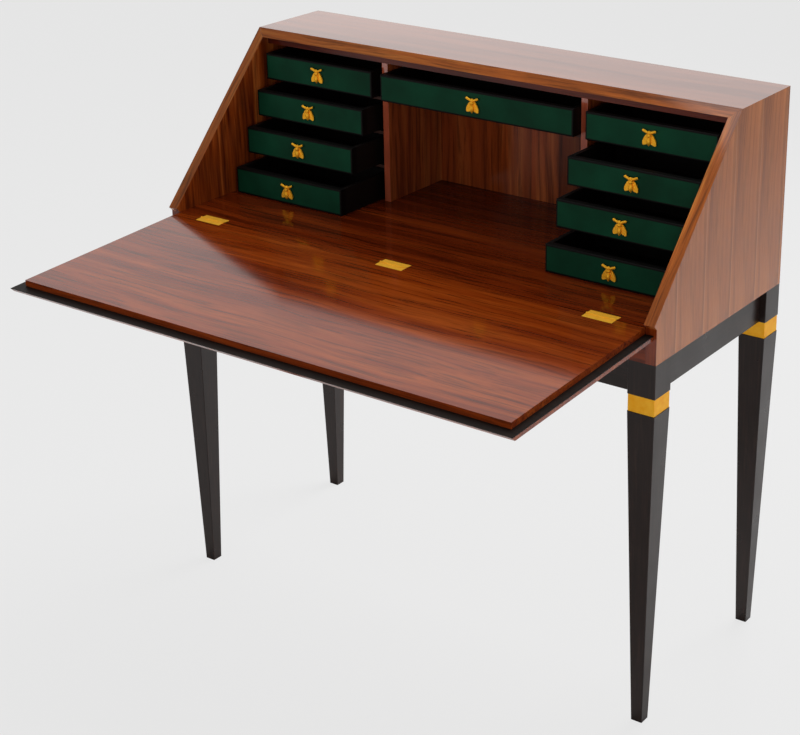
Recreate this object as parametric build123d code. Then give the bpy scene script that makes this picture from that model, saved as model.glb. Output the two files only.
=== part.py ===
from build123d import *

import os
from math import cos, radians, sin, tan

os.makedirs("parts", exist_ok=True)

# Slant-front writing desk: a case with a drop flap and a nest of nine small drawers, on a stand with four
# square tapering legs. Millimetres. While it is laid out, x is 0 at the middle of the desk, y is 0 at the
# front face of the case and grows towards the back, and z is 0 at the floor. The flap is open, as in use.

# ---------------------------------------------------------------- case
CASE_W = 1055.0              # overall width, over both sides
CASE_D = 447.0               # overall depth of the case
CASE_H = 365.0               # height of the case above the stand
WRITING_RISE = 63.0          # writing surface, and the flap's hinge axis, above the stand
SLANT_DEG = 46.8             # slope of the closed flap from level
SIDE_T = 20.0
TOP_T = 15.0
BACK_T = 10.0
BOTTOM_T = 12.0
FLOOR_T = 18.0               # fixed writing board
RAIL_T = 18.0                # front rail and nest header
HEADER_H = 14.5

# ---------------------------------------------------------------- flap
FLAP_DROOP_DEG = 2.4         # how far the open flap hangs below level
PANEL_STEP = 11.0            # raised writing panel above the lip
LIP_T = 8.0                  # board under the panel, whose lip covers the edges of the sides
LIP_INSET = 5.5              # edge of the lip inside the outer face of each side
BORDER_T = 1.5               # ebonised strips let into the lip
PANEL_GAP = 1.0              # raised panel to the sides and to the case top, when closed
LIP_GAP = 0.3                # lip to the slanted edges, when closed
HEEL_GAP = 1.3               # rear edge of the flap to the hinge axis

# ---------------------------------------------------------------- flap hinges
HINGE_SPREAD = 424.0         # outer hinges from the middle one
HINGE_L = 57.0
LEAF_W = 15.0
LEAF_T = 2.0
KNUCKLE_R = 1.9
PIN_R = 0.9
PIN_GAP = 0.05
KNUCKLE_L = 15.0             # each of the two outer knuckles
KNUCKLE_GAP = 0.4
LEAF_GAP = 0.2               # round a leaf, in its recess
HINGE_SCREW_PITCH = 20.0
HINGE_SCREW_HEAD_R = 2.2
HINGE_SCREW_R = 1.1
HINGE_SCREW_L = 8.0

# ---------------------------------------------------------------- stand
STAND_H = 687.0              # floor to the underside of the case
BLOCK = 52.0                 # square block at the head of each leg
BLOCK_H = 60.0
COLLAR = 50.0                # square brass collar
COLLAR_H = 31.0
COLLAR_T = 2.5               # wall of the collar, round the neck of the leg
LEG_TOP = 51.5
LEG_FOOT = 21.6
EDGE_CHAMFER = 0.8           # along the leg's corners
APRON_T = 20.0
APRON_SETBACK = 12.0         # face of the aprons behind the face of the case
TENON_T = 8.0
TENON_L = 14.0
TENON_SHOULDER = 10.0        # above and below each tenon
FIXING_BLOCK = 26.0          # square plan of the glued blocks
FIXING_BLOCK_L = 70.0
STAND_SCREW_R = 2.2
STAND_SCREW_HEAD_R = 4.2
STAND_SCREW_HEAD_H = 3.0
STAND_SCREW_BITE = 9.0       # into the case bottom

# ---------------------------------------------------------------- drawer nest
NEST_SETBACK = 1.1           # nest behind the front edge of the case top
NICHE_W = 427.0              # clear width of the open niche
PARTITION_T = 13.5
DIVIDER_T = 6.0
ROWS = 4
DRAWER_H = 51.0
DRAWER_AIR = 9.7             # above a drawer, under the next divider; the header leaves more
LOWEST_AIR = 14.7            # above the lowest drawers
RUN_GAP = 0.3                # under and beside a sliding piece
GUIDE_T = 10.0
GUIDE_H = 24.0
GUIDE_SETBACK = 30.0
CENTRE_SIDE_GAP = 0.7
DRAWER_BACK_GAP = 7.0
FRONT_T = 14.0
DRAWER_SIDE_T = 8.0
DRAWER_BOTTOM_T = 4.0
FRONT_ROUND = 1.8
# How far each drawer stands open, row by row from the top
OPEN_LEFT = (20.0, 50.0, 84.0, 120.0)
OPEN_RIGHT = (25.0, 82.5, 117.0, 150.0)
OPEN_CENTRE = 25.0

# ---------------------------------------------------------------- bee pulls
BEE_W = 27.5
BEE_H = 29.5
BEE_PLATE = 2.4              # thickness of the wings
BEE_PROUD = 1.2              # back of the wings off the drawer front
BEE_BODY_R = 4.2
BEE_HEAD_R = 3.4
BEE_CHEST_UP = 4.5           # chest and stud, above the middle of the pull
BEE_HEAD_UP = 9.3
BEE_BODY_GAP = 0.2           # back of the body off the drawer front
BEE_ARM_R = 2.2              # forelegs, raised on both sides of the head
BEE_ARM_RISE_DEG = 22.0
BEE_STUD_R = 1.5
BEE_STUD_L = 8.0

# ---------------------------------------------------------------- lopers that carry the flap
LOPER_X = 330.0
LOPER_W = 22.0
LOPER_L = 400.0
LOPER_REACH = 200.0          # how far they stand out
LOPER_GUIDE_T = 9.0
POCKET_W = 10.0              # finger pocket in the front end
POCKET_H = 12.0
POCKET_D = 6.0

# ---------------------------------------------------------------- worked out
slant = radians(SLANT_DEG)
droop = radians(FLAP_DROOP_DEG)
half_w = CASE_W / 2
inner_x = half_w - SIDE_T
writing_z = STAND_H + WRITING_RISE
top_z = STAND_H + CASE_H
ceiling_z = top_z - TOP_T
back_y = CASE_D - BACK_T
floor_under_z = writing_z - FLOOR_T
bottom_top_z = STAND_H + BOTTOM_T
edge_offset = PANEL_STEP - LIP_GAP
flap_t = PANEL_STEP + LIP_T
neck = COLLAR - 2 * COLLAR_T


def on_slant(along, offset):
    """(y, z) of a point given along the closed flap from the hinge axis, and outwards from its inner face."""
    y = along * cos(slant) - offset * sin(slant)
    z = writing_z + along * sin(slant) + offset * cos(slant)
    return y, z


def along_at(z, offset):
    """Distance along the slope at which an offset line reaches a height."""
    return (z - writing_z - offset * cos(slant)) / sin(slant)


panel_l = along_at(ceiling_z, PANEL_STEP) - PANEL_GAP
lip_l = along_at(top_z, PANEL_STEP)
panel_half = inner_x - PANEL_GAP
lip_half = half_w - LIP_INSET
top_front_y = on_slant(along_at(top_z, edge_offset), edge_offset)[0]
nest_y = top_front_y + NEST_SETBACK
drawer_d = back_y - nest_y - DRAWER_BACK_GAP
niche_half = NICHE_W / 2
bay_x = niche_half + PARTITION_T
drawer_w = inner_x - bay_x - 2 * (GUIDE_T + RUN_GAP)
drawer_x = (inner_x + bay_x) / 2

# Underside of each row's opening, from the top row down
row_z = []
level = writing_z
for row in range(ROWS):
    row_z.insert(0, level)
    level += RUN_GAP + DRAWER_H + (LOWEST_AIR if row == 0 else DRAWER_AIR) + DIVIDER_T
header_z = ceiling_z - HEADER_H

# The origin is on the floor, under the middle of the whole desk with its flap open
front_y = -lip_l * cos(droop) + PANEL_STEP * sin(droop)
mid_y = (front_y + CASE_D) / 2


# ---------------------------------------------------------------- helpers
def box(x, y, z):
    """A box from three pairs of limits."""
    centre = Pos((x[0] + x[1]) / 2, (y[0] + y[1]) / 2, (z[0] + z[1]) / 2)
    return centre * Box(x[1] - x[0], y[1] - y[0], z[1] - z[0])


def mirror_x(shape):
    return mirror(shape, about=Plane.YZ)


def across(points, x):
    """A prism that runs along x, from (y, z) points and a pair of limits."""
    face = make_face(Polyline(*[(x[0], y, z) for y, z in points], close=True))
    return extrude(face, amount=x[1] - x[0], dir=(1, 0, 0))


def rod_x(y, z, r, x):
    """A round bar along x."""
    return Pos((x[0] + x[1]) / 2, y, z) * Rot(0, 90, 0) * Cylinder(r, x[1] - x[0])


def open_flap(shape):
    """Swing a shape that was laid out level down to the open flap's angle."""
    return Pos(0, 0, writing_z) * Rot(FLAP_DROOP_DEG, 0, 0) * Pos(0, 0, -writing_z) * shape


def save(node, *shapes):
    """Write one node, moved from the layout's origin to the desk's."""
    solids = [solid for shape in shapes for solid in shape.solids()]
    whole = solids[0] if len(solids) == 1 else Compound(solids)
    export_step(Pos(0, -mid_y, 0) * whole, f"parts/{node}.step")


# ---------------------------------------------------------------- stand
def tenon(along_x, sign, reach_from, other):
    """Tenon on the end of an apron, from the inner face of a leg block into it."""
    run = sorted((reach_from, reach_from + sign * TENON_L))
    mid = APRON_SETBACK + APRON_T / 2
    across_run = sorted((other * (mid - TENON_T / 2), other * (mid + TENON_T / 2)))
    z = (STAND_H - BLOCK_H + TENON_SHOULDER, STAND_H - TENON_SHOULDER)
    if along_x:
        return box(run, [v if other > 0 else CASE_D + v for v in across_run], z)
    return box([v + (-half_w if other > 0 else half_w) for v in across_run], run, z)


def leg(sx, back):
    """A leg in one piece: head block, neck inside the collar, and taper, with its two mortises."""
    cx = sx * (half_w - BLOCK / 2)
    cy = CASE_D - BLOCK / 2 if back else BLOCK / 2
    block_z = STAND_H - BLOCK_H
    taper_h = block_z - COLLAR_H
    head = Pos(cx, cy, STAND_H - BLOCK_H / 2) * Box(BLOCK, BLOCK, BLOCK_H)
    core = Pos(cx, cy, block_z - COLLAR_H / 2) * Box(neck, neck, COLLAR_H)
    foot = Plane.XY * Rectangle(LEG_FOOT, LEG_FOOT)
    shank = loft([foot, Pos(0, 0, taper_h) * Rectangle(LEG_TOP, LEG_TOP)])
    upright = [e for e in shank.edges() if abs(e.center().Z - taper_h / 2) < 1]
    shank = Pos(cx, cy, 0) * chamfer(upright, EDGE_CHAMFER)
    corners = head.edges().filter_by(Axis.Z)
    head = chamfer(corners, EDGE_CHAMFER)
    x_mortise = tenon(True, sx, sx * (half_w - BLOCK), -1 if back else 1)
    y_mortise = tenon(False, 1 if back else -1, CASE_D - BLOCK if back else BLOCK, -sx)
    return (head + core + shank) - x_mortise - y_mortise


def collar(sx, back):
    cx = sx * (half_w - BLOCK / 2)
    cy = CASE_D - BLOCK / 2 if back else BLOCK / 2
    at = Pos(cx, cy, STAND_H - BLOCK_H - COLLAR_H / 2)
    return at * (Box(COLLAR, COLLAR, COLLAR_H) - Box(neck, neck, COLLAR_H))


def long_apron(back):
    """Front or back apron, between two leg blocks, tenoned into both."""
    y = (CASE_D - APRON_SETBACK - APRON_T, CASE_D - APRON_SETBACK) if back else (
        APRON_SETBACK, APRON_SETBACK + APRON_T)
    end = half_w - BLOCK
    bar = box((-end, end), y, (STAND_H - BLOCK_H, STAND_H))
    other = -1 if back else 1
    return bar + tenon(True, 1, end, other) + tenon(True, -1, -end, other)


def side_apron(sx):
    face = half_w - APRON_SETBACK
    x = sorted((sx * face, sx * (face - APRON_T)))
    bar = box(x, (BLOCK, CASE_D - BLOCK), (STAND_H - BLOCK_H, STAND_H))
    return bar + tenon(False, -1, BLOCK, -sx) + tenon(False, 1, CASE_D - BLOCK, -sx)


def fixing_places():
    """Middles of the glued blocks behind the long aprons, with the side that each lies against."""
    inner = APRON_SETBACK + APRON_T + FIXING_BLOCK / 2
    spread = half_w - BLOCK - FIXING_BLOCK_L
    return [(x, y) for x in (-spread, -spread / 3, spread / 3, spread) for y in (inner, CASE_D - inner)]


def stand_screw(x, y):
    """A screw up through a fixing block into the case bottom."""
    low = STAND_H - FIXING_BLOCK
    head = Pos(x, y, low + STAND_SCREW_HEAD_H / 2) * Cylinder(STAND_SCREW_HEAD_R, STAND_SCREW_HEAD_H)
    shank_l = FIXING_BLOCK - STAND_SCREW_HEAD_H + STAND_SCREW_BITE
    return head + Pos(x, y, low + STAND_SCREW_HEAD_H + shank_l / 2) * Cylinder(STAND_SCREW_R, shank_l)


def make_stand():
    for side, sx in (("left", -1), ("right", 1)):
        save(f"leg_front_{side}", leg(sx, False))
        save(f"leg_back_{side}", leg(sx, True))
    save("collars", *[collar(sx, back) for sx in (-1, 1) for back in (False, True)])
    save("long_aprons", long_apron(False), long_apron(True))
    save("side_aprons", side_apron(-1), side_apron(1))
    blocks = []
    for x, y in fixing_places():
        low = STAND_H - FIXING_BLOCK
        half = FIXING_BLOCK / 2
        body = box((x - FIXING_BLOCK_L / 2, x + FIXING_BLOCK_L / 2), (y - half, y + half), (low, STAND_H))
        blocks.append(body - stand_screw(x, y))
    save("fixing_blocks", *blocks)
    save("stand_screws", *[stand_screw(x, y) for x, y in fixing_places()])


# ---------------------------------------------------------------- case
def mitre_wedge():
    """The corner above the mitre between the right side and the top, as a prism along y."""
    points = [(inner_x, ceiling_z), (half_w, top_z), (half_w, top_z + TOP_T), (inner_x, top_z + TOP_T)]
    face = make_face(Polyline(*[(x, -CASE_D, z) for x, z in points], close=True))
    return extrude(face, amount=3 * CASE_D, dir=(0, 1, 0))


def side():
    """Right side, with its slanted front edge set out from the slope, and its mitre at the top."""
    profile = [
        (0, STAND_H), (0, writing_z), on_slant(0, edge_offset), (top_front_y, top_z),
        (CASE_D, top_z), (CASE_D, STAND_H)]
    return across(profile, (inner_x, half_w)) - mitre_wedge()


def top():
    """Top, mitred to both sides, with its front edge bevelled to the slope."""
    low_y = on_slant(along_at(ceiling_z, edge_offset), edge_offset)[0]
    profile = [(low_y, ceiling_z), (top_front_y, top_z), (CASE_D, top_z), (CASE_D, ceiling_z)]
    board = across(profile, (-half_w, half_w))
    below = [(inner_x, ceiling_z), (half_w, top_z), (half_w + SIDE_T, top_z), (half_w + SIDE_T, 0), (inner_x, 0)]
    face = make_face(Polyline(*[(x, -CASE_D, z) for x, z in below], close=True))
    wedge = extrude(face, amount=3 * CASE_D, dir=(0, 1, 0))
    return board - wedge - mirror_x(wedge)


def partition():
    """Right wall of the niche, notched round the header."""
    profile = [
        (nest_y, writing_z), (nest_y, header_z), (nest_y + RAIL_T, header_z), (nest_y + RAIL_T, ceiling_z),
        (back_y, ceiling_z), (back_y, writing_z)]
    return across(profile, (niche_half, bay_x))


def loper_slot(x):
    """Clearance hole for a loper through the front rail."""
    half = LOPER_W / 2 + RUN_GAP
    return box((x - half, x + half), (-1, RAIL_T + 1), (bottom_top_z, loper_top_z + RUN_GAP))


def make_case():
    inside = (-inner_x, inner_x)
    save("side_right", side())
    save("side_left", mirror_x(side()))
    save("case_top", top())
    screws = [stand_screw(x, y) for x, y in fixing_places()]
    bottom = box(inside, (RAIL_T, back_y), (STAND_H, bottom_top_z))
    for screw in screws:
        bottom -= screw
    save("case_bottom", bottom)
    save("back_panel", box(inside, (back_y, CASE_D), (STAND_H, ceiling_z)))
    rail = box(inside, (0, RAIL_T), (STAND_H, floor_under_z))
    save("front_rail", rail - loper_slot(-LOPER_X) - loper_slot(LOPER_X))
    floor = box(inside, (0, back_y), (floor_under_z, writing_z))
    for x in hinge_places():
        floor = floor - leaf_recess(x, 1) - barrel_relief(x)
        for screw in hinge_screws(x, 1):
            floor -= screw
    save("writing_floor", floor)
    guides = []
    for sx in (-1, 1):
        edge = LOPER_W / 2 + RUN_GAP
        centre = sx * LOPER_X
        y = (RAIL_T, back_y)
        guides.append(box((centre - edge - LOPER_GUIDE_T, centre - edge), y, (bottom_top_z, floor_under_z)))
        guides.append(box((centre + edge, centre + edge + LOPER_GUIDE_T), y, (bottom_top_z, floor_under_z)))
        guides.append(box((centre - edge, centre + edge), y, (loper_top_z + RUN_GAP, floor_under_z)))
    save("loper_guides", *guides)


# ---------------------------------------------------------------- nest
def make_nest():
    save("nest_header", box((-inner_x, inner_x), (nest_y, nest_y + RAIL_T), (header_z, ceiling_z)))
    save("partition_right", partition())
    save("partition_left", mirror_x(partition()))
    run = (nest_y, back_y)
    shelves = [box((bay_x, inner_x), run, (z - DIVIDER_T, z)) for z in row_z[:-1]]
    save("drawer_dividers", *shelves, *[mirror_x(s) for s in shelves])
    save("centre_shelf", box((-niche_half, niche_half), run, (row_z[0] - DIVIDER_T, row_z[0])))
    guides = []
    for z in row_z:
        for x in ((bay_x, bay_x + GUIDE_T), (inner_x - GUIDE_T, inner_x)):
            guides.append(box(x, (nest_y + GUIDE_SETBACK, back_y), (z, z + GUIDE_H)))
    save("drawer_guides", *guides, *[mirror_x(g) for g in guides])


def make_bee():
    """A bee with spread wings and a stud, facing -y, its middle at the origin and the drawer's face at y 0."""
    half_span = BEE_W / 2
    half_h = BEE_H / 2
    body_y = -BEE_BODY_R - BEE_BODY_GAP
    wing_shape = (
        (0.05, 0.48), (0.48, 0.34), (0.78, -0.08), (0.98, -0.62), (0.88, -0.90), (0.62, -0.86), (0.40, -0.80),
        (0.12, -0.55))
    outline = Spline(*[(half_span * across_part, half_h * up_part) for across_part, up_part in wing_shape],
                     periodic=True)
    wing = Pos(0, -BEE_PROUD, 0) * extrude(Plane.XZ * make_face(outline), amount=BEE_PLATE)
    belly_outline = make_face([
        Line((0, 0.25 * half_h), (0, -half_h)),
        ThreePointArc((0, -half_h), (BEE_BODY_R, -0.32 * half_h), (0, 0.25 * half_h))])
    belly = Pos(0, body_y, 0) * Rot(90, 0, 0) * revolve(belly_outline, axis=Axis.Y)
    chest = Pos(0, body_y, BEE_CHEST_UP) * Sphere(BEE_BODY_R)
    head = Pos(0, body_y, BEE_HEAD_UP) * Sphere(BEE_HEAD_R)
    whole = belly + chest + head + wing + mirror_x(wing)
    reach = half_span - BEE_ARM_R
    arm_l = reach / cos(radians(BEE_ARM_RISE_DEG))
    drop = reach * tan(radians(BEE_ARM_RISE_DEG))
    for sx in (-1, 1):
        foreleg = Rot(0, sx * (90 - BEE_ARM_RISE_DEG), 0) * Cylinder(BEE_ARM_R, arm_l)
        whole += Pos(sx * reach / 2, body_y, half_h - BEE_ARM_R - drop / 2) * foreleg
        whole += Pos(sx * reach, body_y, half_h - BEE_ARM_R) * Sphere(BEE_ARM_R)
    stud_l = BEE_STUD_L - body_y
    stud = Pos(0, body_y + stud_l / 2, BEE_CHEST_UP) * Rot(90, 0, 0) * Cylinder(BEE_STUD_R, stud_l)
    return whole + stud


def bee_hole(x, y, z):
    at = Pos(x, y + BEE_STUD_L / 2, z + BEE_CHEST_UP)
    return at * Rot(90, 0, 0) * Cylinder(BEE_STUD_R, BEE_STUD_L)


def make_drawer(name, bee, x, width, floor_z, opened):
    """One drawer, standing open by a distance: front, box of four boards, and bee pull."""
    face_y = nest_y - opened
    low = floor_z + RUN_GAP
    high = low + DRAWER_H
    half = width / 2
    front = box((x - half, x + half), (face_y, face_y + FRONT_T), (low, high))
    rim = [e for e in front.edges() if abs(e.center().Y - face_y) < 0.01]
    front = fillet(rim, FRONT_ROUND) - bee_hole(x, face_y, (low + high) / 2)
    save(f"drawer_{name}_front", front)
    run = (face_y + FRONT_T, face_y + drawer_d)
    inner = half - DRAWER_SIDE_T
    save(
        f"drawer_{name}_box",
        box((x - half, x - inner), run, (low, high)),
        box((x + inner, x + half), run, (low, high)),
        box((x - inner, x + inner), (run[1] - DRAWER_SIDE_T, run[1]), (low + DRAWER_BOTTOM_T, high)),
        box((x - inner, x + inner), run, (low, low + DRAWER_BOTTOM_T)))
    save(f"drawer_{name}_bee", Pos(x, face_y, (low + high) / 2) * bee)


def make_drawers():
    bee = make_bee()
    for side_name, sx, opens in (("left", -1, OPEN_LEFT), ("right", 1, OPEN_RIGHT)):
        for row, (floor_z, opened) in enumerate(zip(row_z, opens), start=1):
            make_drawer(f"{side_name}_{row}", bee, sx * drawer_x, drawer_w, floor_z, opened)
    make_drawer("centre", bee, 0, NICHE_W - 2 * CENTRE_SIDE_GAP, row_z[0], OPEN_CENTRE)


# ---------------------------------------------------------------- hinges
def hinge_places():
    return (-HINGE_SPREAD, 0.0, HINGE_SPREAD)


def leaf_recess(x, sy):
    """Recess for a leaf, behind the axis (sy 1) or in front of it (sy -1)."""
    half = HINGE_L / 2 + LEAF_GAP
    return box((x - half, x + half), sorted((0, sy * (LEAF_W + LEAF_GAP))), (writing_z - LEAF_T, writing_z + 1))


def barrel_relief(x):
    half = HINGE_L / 2 + LEAF_GAP
    return rod_x(0, writing_z, KNUCKLE_R + KNUCKLE_GAP, (x - half, x + half))


def hinge_screws(x, sy):
    """Three countersunk screws through a leaf, with a slot in each head."""
    sink = HINGE_SCREW_HEAD_R - HINGE_SCREW_R
    screws = []
    for step in (-1, 0, 1):
        at = Pos(x + step * HINGE_SCREW_PITCH, sy * (KNUCKLE_R + LEAF_W) / 2, writing_z)
        head = Pos(0, 0, -sink / 2) * Cone(HINGE_SCREW_R, HINGE_SCREW_HEAD_R, sink)
        shank = Pos(0, 0, -HINGE_SCREW_L / 2) * Cylinder(HINGE_SCREW_R, HINGE_SCREW_L)
        screws.append(at * (head + shank))
    return screws


def slotted(screw):
    """Cut a driver's slot across the head of a screw."""
    top_face = screw.bounding_box()
    mid_x = (top_face.min.X + top_face.max.X) / 2
    mid = (top_face.min.Y + top_face.max.Y) / 2
    reach = HINGE_SCREW_HEAD_R
    return screw - box((mid_x - reach, mid_x + reach), (mid - 0.3, mid + 0.3), (writing_z - 0.5, writing_z + 1))


def knuckle_spans(x):
    """The two outer knuckles, and the middle one between them."""
    end = HINGE_L / 2
    mid = end - KNUCKLE_L - KNUCKLE_GAP
    return [(x - end, x - end + KNUCKLE_L), (x + end - KNUCKLE_L, x + end)], [(x - mid, x + mid)]


def hinge_leaf(x, sy):
    """A leaf with its knuckles: the outer pair behind the axis, the middle one in front."""
    outer, middle = knuckle_spans(x)
    mine, theirs = (outer, middle) if sy > 0 else (middle, outer)
    end = HINGE_L / 2
    leaf = box((x - end, x + end), sorted((0, sy * LEAF_W)), (writing_z - LEAF_T, writing_z))
    for a, b in theirs:
        leaf -= rod_x(0, writing_z, KNUCKLE_R + KNUCKLE_GAP, (a - KNUCKLE_GAP, b + KNUCKLE_GAP))
    for span in mine:
        leaf += rod_x(0, writing_z, KNUCKLE_R, span)
    leaf -= rod_x(0, writing_z, PIN_R + PIN_GAP, (x - end - 1, x + end + 1))
    for screw in hinge_screws(x, sy):
        leaf -= screw
    return leaf


def make_hinges():
    save("hinge_case_leaves", *[hinge_leaf(x, 1) for x in hinge_places()])
    save("hinge_flap_leaves", *[open_flap(hinge_leaf(x, -1)) for x in hinge_places()])
    pins = [rod_x(0, writing_z, PIN_R, (x - HINGE_L / 2, x + HINGE_L / 2)) for x in hinge_places()]
    save("hinge_pins", *pins)
    save("hinge_screws_case", *[slotted(s) for x in hinge_places() for s in hinge_screws(x, 1)])
    save("hinge_screws_flap", *[open_flap(slotted(s)) for x in hinge_places() for s in hinge_screws(x, -1)])


# ---------------------------------------------------------------- flap
def lip_layer(depth):
    """The lip down to a depth under the writing panel, its free edge cut level with the closed desk's top."""
    top, low = writing_z - PANEL_STEP, writing_z - depth
    profile = [(-HEEL_GAP, low), (-along_at(top_z, depth), low), (-lip_l, top), (-HEEL_GAP, top)]
    return across(profile, (-lip_half, lip_half))


def make_flap():
    board = lip_layer(flap_t)
    strip = lip_layer(PANEL_STEP + BORDER_T)
    frame = strip - box((-panel_half, panel_half), (-panel_l, 0), (writing_z - flap_t, writing_z))
    panel = box((-panel_half, panel_half), (-panel_l, -HEEL_GAP), (writing_z - PANEL_STEP, writing_z))
    for x in hinge_places():
        panel = panel - leaf_recess(x, -1) - barrel_relief(x)
        for screw in hinge_screws(x, -1):
            panel -= screw
    save("flap_board", open_flap(board - frame))
    save("flap_border", open_flap(frame))
    save("flap_panel", open_flap(panel))


# ---------------------------------------------------------------- lopers
# The open flap's underside passes just over the front end of each loper
loper_top_z = writing_z - LOPER_REACH * tan(droop) - flap_t / cos(droop) - RUN_GAP


def make_lopers():
    for side_name, sx in (("left", -1), ("right", 1)):
        half = LOPER_W / 2
        x = (sx * LOPER_X - half, sx * LOPER_X + half)
        z = (bottom_top_z + RUN_GAP, loper_top_z)
        bar = box(x, (-LOPER_REACH, LOPER_L - LOPER_REACH), z)
        mid_z = (z[0] + z[1]) / 2
        pocket = box(
            (sx * LOPER_X - POCKET_W / 2, sx * LOPER_X + POCKET_W / 2),
            (-LOPER_REACH - 1, -LOPER_REACH + POCKET_D),
            (mid_z - POCKET_H / 2, mid_z + POCKET_H / 2))
        save(f"loper_{side_name}", bar - pocket)


make_stand()
make_case()
make_nest()
make_drawers()
make_hinges()
make_flap()
make_lopers()
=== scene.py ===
from math import cos, radians, sin

import bpy
from mathutils import Matrix, Vector


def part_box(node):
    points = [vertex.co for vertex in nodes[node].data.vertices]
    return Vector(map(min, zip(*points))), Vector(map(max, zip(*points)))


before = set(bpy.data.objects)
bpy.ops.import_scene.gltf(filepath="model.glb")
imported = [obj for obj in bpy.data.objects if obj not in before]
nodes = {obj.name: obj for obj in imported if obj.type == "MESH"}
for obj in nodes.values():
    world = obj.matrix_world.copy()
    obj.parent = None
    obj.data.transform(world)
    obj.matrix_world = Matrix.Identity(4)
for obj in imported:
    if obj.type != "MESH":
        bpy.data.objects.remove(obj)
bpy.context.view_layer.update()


# ---------------------------------------------------------------- stand
# Four square tapering legs under square blocks, tied by plain aprons. Beech, stained black and rubbed down to
# a satin polish, so that the grain hardly shows and the edges catch a thin line of light.
FIBRE = 0.05                 # scale along the grain, which draws the fibres out to twenty times their width
WELD_REACH = 0.00001         # joins the corners that neighbouring faces of a CAD mesh hold twice
SHARP_DEG = 35               # an edge that turns by more than this is softened


def linear(hex_colour):
    """An sRGB hex colour as linear RGBA."""
    channels = [int(hex_colour[i:i + 2], 16) / 255 for i in (1, 3, 5)]
    return [c / 12.92 if c <= 0.04045 else ((c + 0.055) / 1.055) ** 2.4 for c in channels] + [1.0]


def add(tree, kind, sockets=(), stops=(), **settings):
    """Add a node with its settings, its sockets' values or links, and its colour stops."""
    node = tree.nodes.new(kind)
    for name, value in settings.items():
        setattr(node, name, value)
    for name, value in dict(sockets).items():
        if isinstance(value, bpy.types.NodeSocket):
            tree.links.new(value, node.inputs[name])
        else:
            node.inputs[name].default_value = value
    for i, (position, colour) in enumerate(stops):
        elements = node.color_ramp.elements
        element = elements[i] if i < 2 else elements.new(position)
        element.position = position
        element.color = linear(colour) if isinstance(colour, str) else (colour, colour, colour, 1.0)
    return node


def new_material(name):
    """An empty material with its node tree, and the place on the object in metres."""
    material = bpy.data.materials.new(name)
    material.use_nodes = True
    tree = material.node_tree
    tree.nodes.clear()
    return material, tree, add(tree, "ShaderNodeTexCoord")


def per_metre(size_mm):
    """Texture scale that repeats about once in a real size."""
    return 1000.0 / size_mm


def dress(material, *names):
    """Give CAD nodes a material in every slot."""
    for name in names:
        node = nodes[name]
        node.data.materials.clear()
        node.data.materials.append(material)


def soften(names, width_mm):
    """Break the sharp edges of CAD nodes by a small round, as sanding and polish do."""
    for name in names:
        node = nodes[name]
        weld = node.modifiers.new("weld", "WELD")
        weld.merge_threshold = WELD_REACH
        bevel = node.modifiers.new("soft_edges", "BEVEL")
        bevel.width = width_mm / 1000
        bevel.segments = 2
        bevel.limit_method = "ANGLE"
        bevel.angle_limit = radians(SHARP_DEG)
        node.modifiers.new("flat_faces", "WEIGHTED_NORMAL")


def ebonised_beech(name, along):
    """Black stain over beech, with the grain along one axis of the desk."""
    material, tree, place = new_material(name)
    stretch = [FIBRE if axis == along else 1.0 for axis in "xyz"]
    grain_place = add(tree, "ShaderNodeMapping", {"Vector": place.outputs["Object"], "Scale": stretch})
    grain = add(tree, "ShaderNodeTexNoise", {
        "Vector": grain_place.outputs["Vector"], "Scale": per_metre(4.0), "Detail": 4.0, "Roughness": 0.6})
    colour = add(tree, "ShaderNodeValToRGB", {"Fac": grain.outputs["Fac"]}, stops=[
        (0.30, "#170d09"), (0.80, "#31201a"), (0.55, "#20130f")])
    smears = add(tree, "ShaderNodeTexNoise", {
        "Vector": place.outputs["Object"], "Scale": per_metre(60.0), "Detail": 3.0})
    gloss = add(tree, "ShaderNodeMapRange", {
        "Value": smears.outputs["Fac"], "From Min": 0.3, "From Max": 0.7,
        "To Min": 0.26, "To Max": 0.36})
    bump = add(tree, "ShaderNodeBump", {"Height": grain.outputs["Fac"], "Strength": 0.10, "Distance": 0.0002})
    shader = add(tree, "ShaderNodeBsdfPrincipled", {
        "Base Color": colour.outputs["Color"], "Roughness": gloss.outputs["Result"], "IOR": 1.5,
        "Specular IOR Level": 0.34, "Normal": bump.outputs["Normal"]})
    add(tree, "ShaderNodeOutputMaterial", {"Surface": shader.outputs["BSDF"]})
    return material


legs = [f"leg_{end}_{side}" for end in ("front", "back") for side in ("left", "right")]
ebonised_upright = ebonised_beech("ebonised_beech_upright", "z")
ebonised_long = ebonised_beech("ebonised_beech_long", "x")
ebonised_deep = ebonised_beech("ebonised_beech_deep", "y")
dress(ebonised_upright, *legs)
dress(ebonised_long, "long_aprons")
dress(ebonised_deep, "side_aprons")
soften(["long_aprons", "side_aprons"], 0.6)


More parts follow.
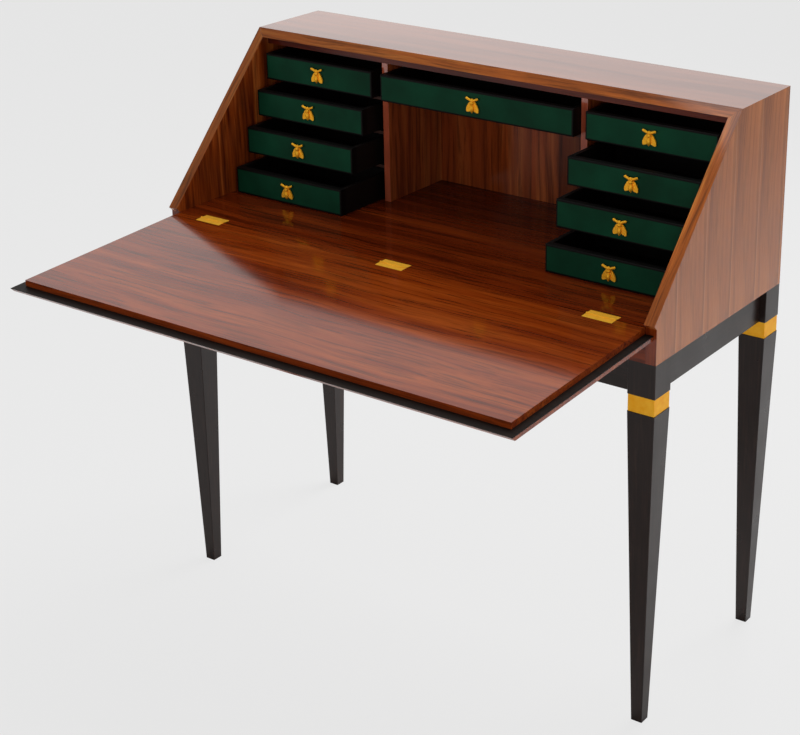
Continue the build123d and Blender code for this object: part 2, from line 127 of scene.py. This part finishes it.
# ---------------------------------------------------------------- brass
# Square collars folded from sheet, flush hinges, and cast bees, all lacquered: the collars polished and then
# dulled by old lacquer, the hinge leaves brushed to an even satin, the bees with the soft skin of a casting.
def lacquered_brass(name, shades, roughness, cloud_mm, dent):
    """Brass with a faint cloudiness of tone and gloss; dent is how strongly the surface undulates."""
    material, tree, place = new_material(name)
    cloud = add(tree, "ShaderNodeTexNoise", {
        "Vector": place.outputs["Object"], "Scale": per_metre(cloud_mm), "Detail": 4.0})
    colour = add(tree, "ShaderNodeValToRGB", {"Fac": cloud.outputs["Fac"]}, stops=[
        (0.30, shades[0]), (0.72, shades[1])])
    gloss = add(tree, "ShaderNodeMapRange", {
        "Value": cloud.outputs["Fac"], "From Min": 0.3, "From Max": 0.7,
        "To Min": roughness, "To Max": roughness + 0.08})
    bump = add(tree, "ShaderNodeBump", {
        "Height": cloud.outputs["Fac"], "Strength": dent, "Distance": 0.0003})
    shader = add(tree, "ShaderNodeBsdfPrincipled", {
        "Base Color": colour.outputs["Color"], "Metallic": 1.0, "Roughness": gloss.outputs["Result"],
        "Normal": bump.outputs["Normal"]})
    add(tree, "ShaderNodeOutputMaterial", {"Surface": shader.outputs["BSDF"]})
    return material


drawers = [f"{side}_{row}" for side in ("left", "right") for row in (1, 2, 3, 4)] + ["centre"]
sheet_brass = lacquered_brass(
    "polished_sheet_brass", ("#eca626", "#f2ba3c"), roughness=0.50, cloud_mm=12.0, dent=0.05)
satin_brass = lacquered_brass(
    "brushed_satin_brass", ("#ffc83c", "#ffd250"), roughness=0.74, cloud_mm=6.0, dent=0.04)
cast_brass = lacquered_brass("cast_brass", ("#ffb824", "#ffd048"), roughness=0.62, cloud_mm=2.5, dent=0.12)
dress(sheet_brass, "collars")
dress(satin_brass, "hinge_case_leaves", "hinge_flap_leaves", "hinge_pins", "hinge_screws_case",
      "hinge_screws_flap")
dress(cast_brass, *[f"drawer_{name}_bee" for name in drawers])
soften(["collars"], 0.6)


# ---------------------------------------------------------------- case and flap
# Boards veneered in striped rosewood and French polished: dark ink lines and warm bands along the grain,
# under a hard clear gloss. The grain runs along the top, flap and writing board, upright on the sides, back
# and partitions, and along the slope on the slanted front edges, which are lipped in a lighter orange cut.
SLOPE_DEG = 46.8
UPRIGHT = (0, radians(90), 0)    # turns the figure's grain, which lies along the desk, upright
CORE_BLUR = 0.001                # half the width over which a side's inner colour turns to its outer one
DARK_CUT = ("#561a04", "#6e2608", "#84340d")    # writing board, front rail and the sides' front ends
side_low, side_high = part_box("side_right")
side_core_x = (side_low[0] + side_high[0]) / 2    # middle of the side's thickness


def rosewood_figure(tree, laid, shades, ink, band_mm, line_mm, line_l_mm):
    """Colour of sliced rosewood, whose grain runs along x of the given place.

    The shades go from the dark bands to the light ones; ink is how dark the lines are, from 0 to 1.
    Bands and lines have a width across the grain, and the lines a length along it.
    """
    wave_mm = 380.0              # the figure wanders off the line of the grain over this length
    drift_mm = 35.0              # and by up to half of this each way
    pore_mm = 1.4                # really 0.2 mm wide: drawn wider so that they show
    drift_place = add(tree, "ShaderNodeMapping", {"Vector": laid, "Scale": (1.0, 2.5, 2.5)})
    drift = add(tree, "ShaderNodeTexNoise", {
        "Vector": drift_place.outputs["Vector"], "Scale": per_metre(wave_mm), "Detail": 2.0,
        "Roughness": 0.5})
    centred = add(tree, "ShaderNodeVectorMath", {0: drift.outputs["Color"], 1: (0.5, 0.5, 0.5)},
                  operation="SUBTRACT")
    shift = add(tree, "ShaderNodeVectorMath", {
        0: centred.outputs["Vector"], 1: (0.0, drift_mm / 1000, drift_mm / 1000)}, operation="MULTIPLY")
    figure = add(tree, "ShaderNodeVectorMath", {0: laid, 1: shift.outputs["Vector"]}, operation="ADD")
    band_place = add(tree, "ShaderNodeMapping", {
        "Vector": figure.outputs["Vector"], "Scale": (FIBRE, 1.0, 1.0)})
    bands = add(tree, "ShaderNodeTexNoise", {
        "Vector": band_place.outputs["Vector"], "Scale": per_metre(band_mm), "Detail": 3.0,
        "Roughness": 0.55})
    line_place = add(tree, "ShaderNodeMapping", {
        "Vector": figure.outputs["Vector"], "Scale": (line_mm / line_l_mm, 1.0, 1.0)})
    lines = add(tree, "ShaderNodeTexNoise", {
        "Vector": line_place.outputs["Vector"], "Scale": per_metre(line_mm), "Detail": 4.0,
        "Roughness": 0.6})
    pore_place = add(tree, "ShaderNodeMapping", {"Vector": laid, "Scale": (FIBRE, 1.0, 1.0)})
    pores = add(tree, "ShaderNodeTexNoise", {
        "Vector": pore_place.outputs["Vector"], "Scale": per_metre(pore_mm), "Detail": 2.0, "Roughness": 0.7})
    base = add(tree, "ShaderNodeValToRGB", {"Fac": bands.outputs["Fac"]}, stops=[
        (0.32, shades[0]), (0.68, shades[2]), (0.50, shades[1])])
    inked = add(tree, "ShaderNodeValToRGB", {"Fac": lines.outputs["Fac"]}, stops=[
        (0.36, 1.0 - ink), (0.66, 1.0), (0.45, 1.0 - 0.45 * ink), (0.53, 1.0 - 0.1 * ink)])
    lined = add(tree, "ShaderNodeMix", {
        "Factor": 1.0, "A": base.outputs["Color"], "B": inked.outputs["Color"]},
        data_type="RGBA", blend_type="MULTIPLY")
    pitted = add(tree, "ShaderNodeValToRGB", {"Fac": pores.outputs["Fac"]}, stops=[
        (0.34, 0.66), (0.52, 1.0)])
    return add(tree, "ShaderNodeMix", {
        "Factor": 0.5, "A": lined.outputs[2], "B": pitted.outputs["Color"]},
        data_type="RGBA", blend_type="MULTIPLY").outputs[2]


def facing(tree, place, axis, none, full):
    """Mask of the faces whose normal has gone, along one axis of the object, from one value to the other."""
    parts = add(tree, "ShaderNodeSeparateXYZ", {"Vector": place.outputs["Normal"]})
    return add(tree, "ShaderNodeMapRange", {
        "Value": parts.outputs[axis], "From Min": none, "From Max": full}).outputs["Result"]


def french_polish(tree, colour, coat=1.0):
    """A hard clear gloss over the wood, which gives a sharp reflection and a deep colour."""
    shader = add(tree, "ShaderNodeBsdfPrincipled", {
        "Base Color": colour, "Roughness": 0.5, "IOR": 1.5, "Specular IOR Level": 0.0,
        "Coat Weight": coat, "Coat Roughness": 0.10, "Coat IOR": 1.5})
    add(tree, "ShaderNodeOutputMaterial", {"Surface": shader.outputs["BSDF"]})


def edge_lipping(tree, place, laid, colour):
    """Turn the slanted edges into the lighter orange lipping, with painted shade that darkens it towards the
    desk's left.
    """
    figure = rosewood_figure(
        tree, laid, ("#824014", "#c46826", "#e28a3c"), ink=0.5, band_mm=26.0, line_mm=5.0, line_l_mm=130.0)
    # painted shade: the lipping's colour is scaled down from the desk's right to its left, as if less light
    # reached the left
    spot = add(tree, "ShaderNodeSeparateXYZ", {"Vector": place.outputs["Object"]})
    tone = add(tree, "ShaderNodeMapRange", {
        "Value": spot.outputs["X"], "From Min": -side_core_x, "From Max": side_core_x,
        "To Min": 0.55, "To Max": 1.0})
    edge = add(tree, "ShaderNodeVectorMath", {0: figure, "Scale": tone.outputs["Result"]},
               operation="SCALE").outputs["Vector"]
    slanted = facing(tree, place, "Z", 0.55, 0.62)
    level = facing(tree, place, "Z", 0.75, 0.82)
    only = add(tree, "ShaderNodeMath", {0: slanted, 1: level}, operation="SUBTRACT").outputs["Value"]
    return add(tree, "ShaderNodeMix", {
        "Factor": only, "A": colour, "B": edge}, data_type="RGBA").outputs[2]


def rosewood(name, offset, shades, ink, band_mm, line_mm, line_l_mm, lipped=False, coat=1.0):
    """A board with its grain along the desk; the offset picks another part of the figure."""
    material, tree, place = new_material(name)
    laid = add(tree, "ShaderNodeVectorMath", {0: place.outputs["Object"], 1: offset},
               operation="ADD").outputs["Vector"]
    colour = rosewood_figure(tree, laid, shades, ink, band_mm, line_mm, line_l_mm)
    if lipped:
        colour = edge_lipping(tree, place, laid, colour)
    french_polish(tree, colour, coat)
    return material


top_rosewood = rosewood(
    "rosewood_top", (0.0, 0.0, 0.0), ("#5f3120", "#6e3d29", "#7e4831"),
    ink=0.22, band_mm=44.0, line_mm=9.0, line_l_mm=360.0, lipped=True)
flap_rosewood = rosewood(
    "rosewood_flap", (0.37, 0.21, 0.4), ("#6a2406", "#84340b", "#9a4614"),
    ink=0.5, band_mm=28.0, line_mm=5.0, line_l_mm=220.0)
board_rosewood = rosewood(
    "rosewood_writing_board", (0.1, 0.55, 0.1), DARK_CUT,
    ink=0.6, band_mm=34.0, line_mm=6.0, line_l_mm=220.0, coat=0.7)
# the header's dark colour is partly the wood's own and partly painted shade of the top's overhang above it
header_rosewood = rosewood(
    "rosewood_header", (0.3, 0.15, 0.7), ("#3c0f06", "#501608", "#66240e"),
    ink=0.4, band_mm=34.0, line_mm=6.0, line_l_mm=220.0, coat=0.25)
dress(top_rosewood, "case_top")
dress(flap_rosewood, "flap_panel", "flap_board")
dress(board_rosewood, "writing_floor", "front_rail")
dress(header_rosewood, "nest_header")


def side_rosewood():
    """Sides, laid outside from upright leaves of one figure, with a pale line of sapwood at each joint.

    Inside they are a warmer cut, their front ends are dark, and their slanted edges carry the lipping.
    """
    leaf_mm = 94.0
    sapwood_mm = 4.0
    first_joint_mm = 41.0        # one joint's place, behind the middle of the desk's box
    material, tree, place = new_material("rosewood_sides")
    parts = add(tree, "ShaderNodeSeparateXYZ", {"Vector": place.outputs["Object"]})
    # the place on one leaf, which every leaf repeats
    start = add(tree, "ShaderNodeMath", {
        0: parts.outputs["Y"], 1: first_joint_mm / 1000}, operation="SUBTRACT")
    count = add(tree, "ShaderNodeMath", {
        0: start.outputs["Value"], 1: per_metre(leaf_mm)}, operation="MULTIPLY")
    across = add(tree, "ShaderNodeMath", {0: count.outputs["Value"]}, operation="FRACT")
    leaf = add(tree, "ShaderNodeMath", {
        0: across.outputs["Value"], 1: per_metre(leaf_mm)}, operation="DIVIDE")
    one = add(tree, "ShaderNodeCombineXYZ", {
        "X": parts.outputs["X"], "Y": leaf.outputs["Value"], "Z": parts.outputs["Z"]})
    laid = add(tree, "ShaderNodeMapping", {
        "Vector": one.outputs["Vector"], "Rotation": UPRIGHT}).outputs["Vector"]
    outer = rosewood_figure(
        tree, laid, ("#744024", "#a45c2c", "#be7239"), ink=0.32, band_mm=40.0, line_mm=9.0, line_l_mm=400.0)
    seam = add(tree, "ShaderNodeMapRange", {
        "Value": across.outputs["Value"], "From Min": sapwood_mm / leaf_mm, "From Max": 0.0,
        "To Max": 0.6})
    outer = add(tree, "ShaderNodeMix", {
        "Factor": seam.outputs["Result"], "A": outer, "B": linear("#c08050")},
        data_type="RGBA").outputs[2]
    # the inner face and the front end have no leaves
    plain = add(tree, "ShaderNodeMapping", {
        "Vector": place.outputs["Object"], "Rotation": UPRIGHT}).outputs["Vector"]
    inner = rosewood_figure(
        tree, plain, ("#5a200a", "#944014", "#c4682c"), ink=0.5, band_mm=16.0, line_mm=6.0, line_l_mm=200.0)
    away = add(tree, "ShaderNodeMath", {0: parts.outputs["X"]}, operation="ABSOLUTE")
    within = add(tree, "ShaderNodeMapRange", {
        "Value": away.outputs["Value"], "From Min": side_core_x + CORE_BLUR,
        "From Max": side_core_x - CORE_BLUR})
    colour = add(tree, "ShaderNodeMix", {
        "Factor": within.outputs["Result"], "A": outer, "B": inner}, data_type="RGBA").outputs[2]
    dark = rosewood_figure(tree, plain, DARK_CUT, ink=0.4, band_mm=16.0, line_mm=6.0, line_l_mm=200.0)
    front_end = facing(tree, place, "Y", -0.85, -0.95)
    colour = add(tree, "ShaderNodeMix", {
        "Factor": front_end, "A": colour, "B": dark}, data_type="RGBA").outputs[2]
    sloped = add(tree, "ShaderNodeMapping", {
        "Vector": place.outputs["Object"], "Rotation": (radians(90 - SLOPE_DEG), 0, 0)})
    along_slope = add(tree, "ShaderNodeMapping", {
        "Vector": sloped.outputs["Vector"], "Rotation": UPRIGHT}).outputs["Vector"]
    french_polish(tree, edge_lipping(tree, place, along_slope, colour))
    return material


dress(side_rosewood(), "side_left", "side_right")


def dull_black():
    """The strip let into the lip of the flap: stained black and left dull beside the polish."""
    material, tree, place = new_material("dull_black_strip")
    grain_place = add(tree, "ShaderNodeMapping", {
        "Vector": place.outputs["Object"], "Scale": (FIBRE, 1.0, 1.0)})
    grain = add(tree, "ShaderNodeTexNoise", {
        "Vector": grain_place.outputs["Vector"], "Scale": per_metre(3.0), "Detail": 4.0,
        "Roughness": 0.6})
    colour = add(tree, "ShaderNodeValToRGB", {"Fac": grain.outputs["Fac"]}, stops=[
        (0.30, "#0c0806"), (0.75, "#20150f")])
    bump = add(tree, "ShaderNodeBump", {
        "Height": grain.outputs["Fac"], "Strength": 0.15, "Distance": 0.0002})
    shader = add(tree, "ShaderNodeBsdfPrincipled", {
        "Base Color": colour.outputs["Color"], "Roughness": 0.55, "IOR": 1.5, "Specular IOR Level": 0.12,
        "Normal": bump.outputs["Normal"]})
    add(tree, "ShaderNodeOutputMaterial", {"Surface": shader.outputs["BSDF"]})
    return material


dress(dull_black(), "flap_border")


def matched_rosewood():
    """Back panel, laid from narrow upright leaves whose tone changes from one to the next.

    Inside, painted shade darkens the leaves towards the desk's right; outside they are quiet and even.
    """
    leaf_mm = 62.0
    material, tree, place = new_material("rosewood_back_leaves")
    parts = add(tree, "ShaderNodeSeparateXYZ", {"Vector": place.outputs["Object"]})
    count = add(tree, "ShaderNodeMath", {
        0: parts.outputs["X"], 1: per_metre(leaf_mm)}, operation="MULTIPLY")
    leaf = add(tree, "ShaderNodeMath", {0: count.outputs["Value"]}, operation="FLOOR")
    hashed = add(tree, "ShaderNodeTexWhiteNoise", {"W": leaf.outputs["Value"]}, noise_dimensions="1D")
    jump = add(tree, "ShaderNodeVectorMath", {
        0: place.outputs["Object"], 1: hashed.outputs["Color"]}, operation="ADD")
    laid = add(tree, "ShaderNodeMapping", {
        "Vector": jump.outputs["Vector"], "Rotation": UPRIGHT}).outputs["Vector"]
    inner = rosewood_figure(
        tree, laid, ("#6a2a0e", "#8a3c17", "#a65426"), ink=0.5, band_mm=30.0, line_mm=6.0, line_l_mm=200.0)
    tone = add(tree, "ShaderNodeMapRange", {
        "Value": hashed.outputs["Value"], "To Min": 1.0, "To Max": 2.3})
    # painted shade: the inner leaves grow darker towards the desk's right, where less light falls into the
    # niche
    painted_shade_right = add(tree, "ShaderNodeMapRange", {
        "Value": parts.outputs["X"], "From Min": -0.12, "From Max": 0.12, "To Min": 1.0, "To Max": 0.36})
    depth = add(tree, "ShaderNodeMath", {
        0: tone.outputs["Result"], 1: painted_shade_right.outputs["Result"]}, operation="MULTIPLY").outputs["Value"]
    toned = add(tree, "ShaderNodeVectorMath", {0: inner, "Scale": depth}, operation="SCALE")
    outer = rosewood_figure(
        tree, laid, ("#6c3a26", "#7c4630", "#8c5238"), ink=0.36, band_mm=40.0, line_mm=9.0, line_l_mm=400.0)
    outside = facing(tree, place, "Y", 0.6, 0.8)
    colour = add(tree, "ShaderNodeMix", {
        "Factor": outside, "A": toned.outputs["Vector"], "B": outer}, data_type="RGBA").outputs[2]
    french_polish(tree, colour, coat=0.7)
    return material


def partition_rosewood():
    """Partitions: upright grain, with a redder, lighter lipping on their front edges."""
    material, tree, place = new_material("rosewood_partitions")
    laid = add(tree, "ShaderNodeMapping", {
        "Vector": place.outputs["Object"], "Rotation": UPRIGHT}).outputs["Vector"]
    faces = rosewood_figure(
        tree, laid, ("#7c3416", "#9e4a20", "#ba6430"), ink=0.5, band_mm=24.0, line_mm=6.0, line_l_mm=200.0)
    lipping = rosewood_figure(
        tree, laid, ("#8c3a22", "#a34a30", "#b45c40"), ink=0.2, band_mm=24.0, line_mm=6.0, line_l_mm=200.0)
    front = facing(tree, place, "Y", -0.6, -0.8)
    colour = add(tree, "ShaderNodeMix", {
        "Factor": front, "A": faces, "B": lipping}, data_type="RGBA").outputs[2]
    french_polish(tree, colour)
    return material


dress(matched_rosewood(), "back_panel")
dress(partition_rosewood(), "partition_left", "partition_right")
soften(["case_top", "side_left", "side_right"], 0.25)
soften(["flap_panel", "partition_left", "partition_right"], 0.5)


# ---------------------------------------------------------------- drawers
# Nine small drawers. Each front is a black frame round a field lacquered dark green, and the boxes, guides
# and dividers are lacquered black. The green is dead flat; the black has a dull shine on its edges.
FRAME = 0.0035               # black margin round the green field
BLUR = 0.0003                # half the width over which the green turns to black


def drawer_front(name):
    """Lacquer with its green field on the front face, set in from the edges of that drawer's own front."""
    material, tree, place = new_material(f"green_lacquer_{name}")
    low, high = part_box(f"drawer_{name}_front")
    spot = add(tree, "ShaderNodeSeparateXYZ", {"Vector": place.outputs["Object"]})
    inside = []
    for axis, i in (("X", 0), ("Z", 2)):
        middle = (low[i] + high[i]) / 2
        off = add(tree, "ShaderNodeMath", {0: spot.outputs[axis], 1: middle}, operation="SUBTRACT")
        away = add(tree, "ShaderNodeMath", {0: off.outputs["Value"]}, operation="ABSOLUTE")
        edge = (high[i] - low[i]) / 2 - FRAME
        inside.append(add(tree, "ShaderNodeMapRange", {
            "Value": away.outputs["Value"], "From Min": edge + BLUR, "From Max": edge - BLUR}))
    field = add(tree, "ShaderNodeMath", {
        0: inside[0].outputs["Result"], 1: inside[1].outputs["Result"]}, operation="MULTIPLY")
    front = facing(tree, place, "Y", -0.8, -0.95)
    green_part = add(tree, "ShaderNodeMath", {
        0: field.outputs["Value"], 1: front}, operation="MULTIPLY").outputs["Value"]
    cloud = add(tree, "ShaderNodeTexNoise", {
        "Vector": place.outputs["Object"], "Scale": per_metre(70.0), "Detail": 4.0})
    green = add(tree, "ShaderNodeValToRGB", {"Fac": cloud.outputs["Fac"]}, stops=[
        (0.3, "#042f1d"), (0.7, "#073f29")])
    colour = add(tree, "ShaderNodeMix", {
        "Factor": green_part, "A": linear("#070505"), "B": green.outputs["Color"]}, data_type="RGBA")
    gloss = add(tree, "ShaderNodeMapRange", {"Value": green_part, "To Min": 0.50, "To Max": 0.60})
    ripple = add(tree, "ShaderNodeTexNoise", {
        "Vector": place.outputs["Object"], "Scale": per_metre(3.0), "Detail": 2.0})
    bump = add(tree, "ShaderNodeBump", {
        "Height": ripple.outputs["Fac"], "Strength": 0.06, "Distance": 0.0002})
    shader = add(tree, "ShaderNodeBsdfPrincipled", {
        "Base Color": colour.outputs[2], "Roughness": gloss.outputs["Result"], "IOR": 1.5,
        "Specular IOR Level": 0.1, "Normal": bump.outputs["Normal"]})
    add(tree, "ShaderNodeOutputMaterial", {"Surface": shader.outputs["BSDF"]})
    return material


def black_lacquer(name, lipped):
    """Dull black; a lipped board shows a thin rosewood lipping on its front edge."""
    material, tree, place = new_material(name)
    cloud = add(tree, "ShaderNodeTexNoise", {
        "Vector": place.outputs["Object"], "Scale": per_metre(70.0), "Detail": 4.0})
    colour = add(tree, "ShaderNodeValToRGB", {"Fac": cloud.outputs["Fac"]}, stops=[
        (0.3, "#0a0706"), (0.7, "#120d0b")]).outputs["Color"]
    if lipped:
        front = facing(tree, place, "Y", -0.6, -0.8)
        colour = add(tree, "ShaderNodeMix", {
            "Factor": front, "A": colour, "B": linear("#3a241e")}, data_type="RGBA").outputs[2]
    gloss = add(tree, "ShaderNodeMapRange", {
        "Value": cloud.outputs["Fac"], "To Min": 0.45, "To Max": 0.6})
    shader = add(tree, "ShaderNodeBsdfPrincipled", {
        "Base Color": colour, "Roughness": gloss.outputs["Result"], "IOR": 1.5, "Specular IOR Level": 0.12})
    add(tree, "ShaderNodeOutputMaterial", {"Surface": shader.outputs["BSDF"]})
    return material


for name in drawers:
    dress(drawer_front(name), f"drawer_{name}_front")
plain_black = black_lacquer("dull_black_lacquer", lipped=False)
lipped_black = black_lacquer("dull_black_lacquer_lipped", lipped=True)
dress(plain_black, *[f"drawer_{name}_box" for name in drawers], "drawer_guides")
dress(lipped_black, "drawer_dividers", "centre_shelf")


# ---------------------------------------------------------------- hidden woodwork
# Case bottom, loper guides, lopers and glue blocks: planed oak, left bare. The screws are plain steel.
def planed_oak():
    """Bare oak with its open grain from front to back: pale, dull and slightly ribbed."""
    material, tree, place = new_material("bare_planed_oak")
    grain_place = add(tree, "ShaderNodeMapping", {
        "Vector": place.outputs["Object"], "Scale": (1.0, FIBRE, 1.0)})
    grain = add(tree, "ShaderNodeTexNoise", {
        "Vector": grain_place.outputs["Vector"], "Scale": per_metre(5.0), "Detail": 5.0,
        "Roughness": 0.6})
    colour = add(tree, "ShaderNodeValToRGB", {"Fac": grain.outputs["Fac"]}, stops=[
        (0.32, "#8a6440"), (0.68, "#b98f60")])
    bump = add(tree, "ShaderNodeBump", {
        "Height": grain.outputs["Fac"], "Strength": 0.3, "Distance": 0.0003})
    shader = add(tree, "ShaderNodeBsdfPrincipled", {
        "Base Color": colour.outputs["Color"], "Roughness": 0.6, "IOR": 1.45,
        "Normal": bump.outputs["Normal"]})
    add(tree, "ShaderNodeOutputMaterial", {"Surface": shader.outputs["BSDF"]})
    return material


dress(planed_oak(), "case_bottom", "fixing_blocks", "loper_guides", "loper_left", "loper_right")


def plain_steel():
    """Bright steel as turned, with a gloss that wanders a little."""
    material, tree, place = new_material("plain_steel")
    cloud = add(tree, "ShaderNodeTexNoise", {
        "Vector": place.outputs["Object"], "Scale": per_metre(2.0)})
    gloss = add(tree, "ShaderNodeMapRange", {
        "Value": cloud.outputs["Fac"], "To Min": 0.25, "To Max": 0.45})
    shader = add(tree, "ShaderNodeBsdfPrincipled", {
        "Base Color": linear("#b4b4b2"), "Metallic": 1.0, "Roughness": gloss.outputs["Result"]})
    add(tree, "ShaderNodeOutputMaterial", {"Surface": shader.outputs["BSDF"]})
    return material


dress(plain_steel(), "stand_screws")


# ---------------------------------------------------------------- floor
# A plain pale studio floor, wide enough to fill every view. The camera sees its even grey with a faint soft
# shadow of the desk. The desk itself is lit by white paint, which glows a little behind it, as a swept wall
# does.
FLOOR_REACH = 14.0
FLOOR_GREY = "#e9e9e9"
EVENNESS = 0.93              # share of the floor's look that no shadow reaches
GLOW_FROM_Y = -0.2
GLOW_TO_Y = 1.2
GLOW = 0.08
corners = [(x * FLOOR_REACH, y * FLOOR_REACH, 0) for x, y in ((-1, -1), (1, -1), (1, 1), (-1, 1))]
floor_mesh = bpy.data.meshes.new("studio_floor")
floor_mesh.from_pydata(corners, [], [(0, 1, 2, 3)])
floor = bpy.data.objects.new("studio_floor", floor_mesh)
bpy.context.scene.collection.objects.link(floor)
floor_material, tree, place = new_material("matt_white_paint")
depth = add(tree, "ShaderNodeSeparateXYZ", {"Vector": place.outputs["Object"]})
glow = add(tree, "ShaderNodeMapRange", {
    "Value": depth.outputs["Y"], "From Min": GLOW_FROM_Y, "From Max": GLOW_TO_Y,
    "To Min": 0.0, "To Max": GLOW})
paint = add(tree, "ShaderNodeBsdfDiffuse", {"Color": linear("#d8d8d8")})
sweep = add(tree, "ShaderNodeEmission", {
    "Color": (1.0, 1.0, 1.0, 1.0), "Strength": glow.outputs["Result"]})
lit = add(tree, "ShaderNodeAddShader", {0: paint.outputs["BSDF"], 1: sweep.outputs["Emission"]})
shaded = add(tree, "ShaderNodeBsdfDiffuse", {"Color": linear(FLOOR_GREY)})
flat = add(tree, "ShaderNodeEmission", {"Color": linear(FLOOR_GREY)})
even = add(tree, "ShaderNodeMixShader", {
    0: EVENNESS, 1: shaded.outputs["BSDF"], 2: flat.outputs["Emission"]})
rays = add(tree, "ShaderNodeLightPath")
seen = add(tree, "ShaderNodeMixShader", {
    0: rays.outputs["Is Camera Ray"], 1: lit.outputs["Shader"], 2: even.outputs["Shader"]})
add(tree, "ShaderNodeOutputMaterial", {"Surface": seen.outputs["Shader"]})
floor_mesh.materials.append(floor_material)


# ---------------------------------------------------------------- light
# A white room, brightest low down behind the desk and dim in front, with five broad soft lamps: behind, to
# the right, at the front, to the left and overhead. The camera sees the room in almost the floor's own grey,
# so that no horizon shows.
ROOM_DIM = 0.17
ROOM_STRENGTH = 1.5
BACKDROP_GREY = "#e8e8e8"
world = bpy.data.worlds.new("studio")
bpy.context.scene.world = world
world.use_nodes = True
tree = world.node_tree
tree.nodes.clear()
toward = add(tree, "ShaderNodeTexCoord").outputs["Generated"]
parts = add(tree, "ShaderNodeSeparateXYZ", {"Vector": toward})
behind = add(tree, "ShaderNodeMapRange", {
    "Value": parts.outputs["Y"], "From Min": 0.1, "From Max": 0.5})
wall = add(tree, "ShaderNodeValToRGB", {"Fac": parts.outputs["Z"]}, stops=[
    (0.0, 0.93), (1.0, 0.42), (0.24, 0.93), (0.48, 0.60), (0.66, 0.42)])
room = add(tree, "ShaderNodeMix", {
    "Factor": behind.outputs["Result"], "A": (ROOM_DIM, ROOM_DIM, ROOM_DIM, 1.0),
    "B": wall.outputs["Color"]}, data_type="RGBA")
lighting = add(tree, "ShaderNodeBackground", {"Color": room.outputs[2], "Strength": ROOM_STRENGTH})
backdrop = add(tree, "ShaderNodeBackground", {"Color": linear(BACKDROP_GREY)})
rays = add(tree, "ShaderNodeLightPath")
seen = add(tree, "ShaderNodeMixShader", {
    0: rays.outputs["Is Camera Ray"], 1: lighting.outputs["Background"], 2: backdrop.outputs["Background"]})
add(tree, "ShaderNodeOutputWorld", {"Surface": seen.outputs["Shader"]})


def soft_lamp(name, at, aim, size, power):
    """A large square lamp of a size in metres and a power in watts, pointed at a place."""
    lamp = bpy.data.lights.new(name, "AREA")
    lamp.size = size
    lamp.energy = power
    obj = bpy.data.objects.new(name, lamp)
    obj.location = at
    obj.rotation_euler = (Vector(aim) - Vector(at)).to_track_quat("-Z", "Y").to_euler()
    obj.visible_camera = False
    bpy.context.scene.collection.objects.link(obj)
    return obj


# the polish would show the strong lamp behind as a hard white square, so only dull surfaces catch it
soft_lamp("lamp_behind", (0.3, 2.4, 2.9), (0.0, -0.2, 0.75), 1.7, 110.0).visible_glossy = False
soft_lamp("lamp_right", (2.7, -0.1, 1.1), (0.0, 0.0, 0.8), 1.2, 5.0)
soft_lamp("lamp_front", (1.6, -2.9, 1.15), (0.0, 0.3, 0.85), 2.4, 23.0)
soft_lamp("lamp_left", (-1.7, -2.9, 0.9), (0.0, 0.1, 0.85), 2.0, 19.0)
soft_lamp("lamp_over", (-0.3, 0.2, 2.7), (0.0, -0.1, 0.75), 1.2, 10.0)


# ---------------------------------------------------------------- camera
# Standing to the right of the desk and looking down on the open flap, through a lens that is shifted so that
# the whole desk is in view. Angles are in degrees.
CAMERA_AT = (1.8126, -2.3376, 1.8513)
CAMERA_TURN = 33.906
CAMERA_DOWN = 20.104
CAMERA_ROLL = 0.074
FOCAL_PX = 1798.5                # focal length, in pixels of the image
AXIS_PX = (515.2, 250.0)         # where the lens axis meets the image
IMAGE = (800, 735)
turn, down, roll = (radians(v) for v in (CAMERA_TURN, CAMERA_DOWN, CAMERA_ROLL))
ahead = Vector((-sin(turn) * cos(down), cos(turn) * cos(down), -sin(down)))
level = Vector((cos(turn), sin(turn), 0))
upright = level.cross(ahead)
right = level * cos(roll) + upright * sin(roll)
upward = upright * cos(roll) - level * sin(roll)
camera_data = bpy.data.cameras.new("camera")
camera_data.lens = FOCAL_PX * camera_data.sensor_width / IMAGE[0]
camera_data.shift_x = (IMAGE[0] / 2 - AXIS_PX[0]) / IMAGE[0]
camera_data.shift_y = (AXIS_PX[1] - IMAGE[1] / 2) / IMAGE[0]
camera = bpy.data.objects.new("camera", camera_data)
bpy.context.scene.collection.objects.link(camera)
camera.matrix_world = Matrix.Translation(CAMERA_AT) @ Matrix((right, upward, -ahead)).transposed().to_4x4()
bpy.context.scene.camera = camera
bpy.context.scene.view_settings.view_transform = "Standard"
